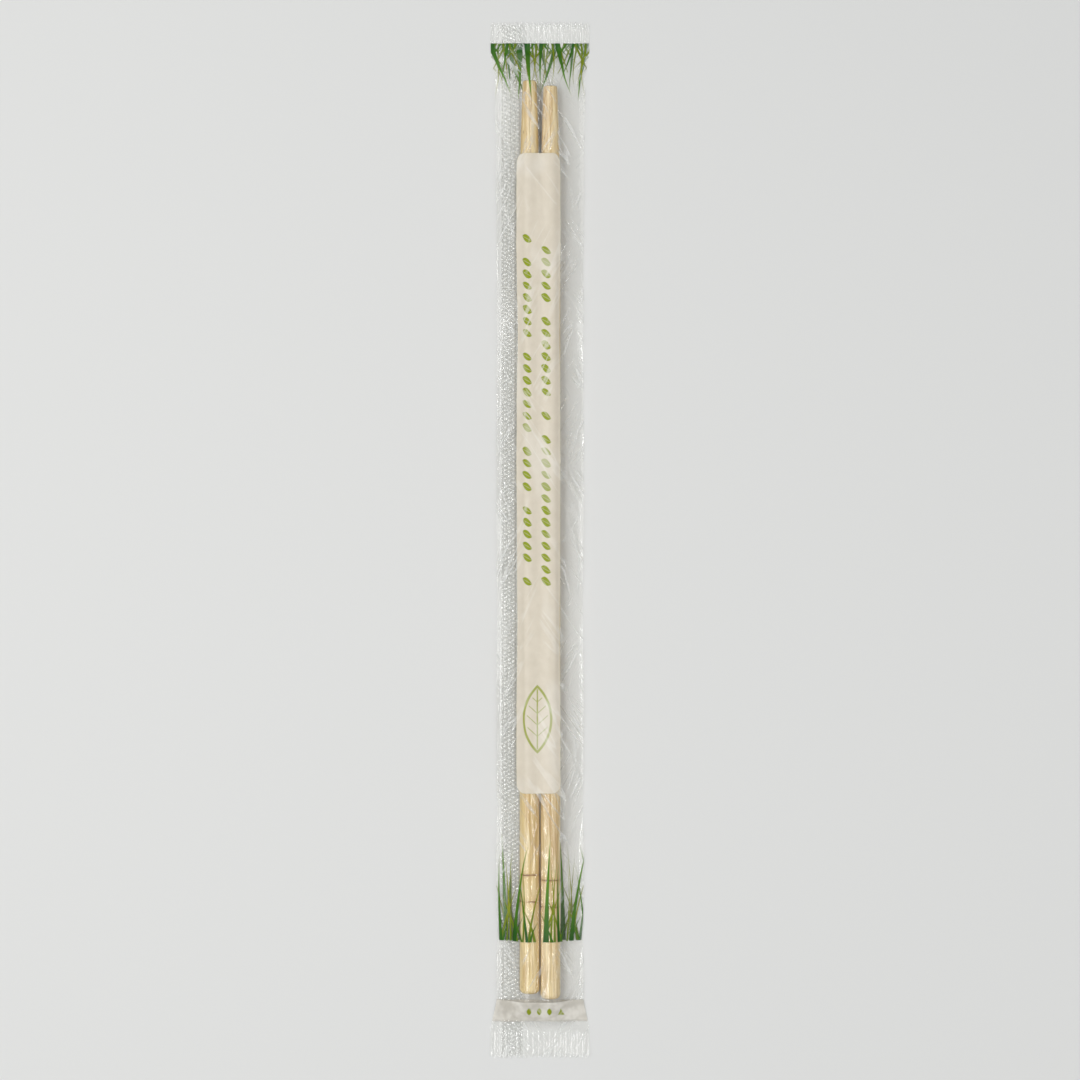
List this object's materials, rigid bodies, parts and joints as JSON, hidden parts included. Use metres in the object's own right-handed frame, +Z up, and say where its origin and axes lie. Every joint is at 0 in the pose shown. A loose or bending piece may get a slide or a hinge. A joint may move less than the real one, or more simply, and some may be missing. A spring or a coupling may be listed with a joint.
{
  "type": "wrapped bamboo chopsticks",
  "caption": "Pair of round bamboo chopsticks with burnt rings near the thick end, sealed in a flat clear film sleeve with a fin seal and zigzag ends.",
  "frame": {"origin": "middle of the underside, at the centre of the base of the bounding box", "axes": "+Y along the sticks towards their tips, +X across the pair, +Z up from the surface it lies on"},
  "size_m": [0.026, 0.2734, 0.0056],
  "materials": {
    "bamboo": "fine sanded bare bamboo",
    "clear_film": "glossy clear film with a white panel and green print"
  },
  "bodies": {
    "root": {"chopstick_left": "bamboo", "chopstick_right": "bamboo", "film_sleeve": "clear_film"}
  },
  "joints": []
}
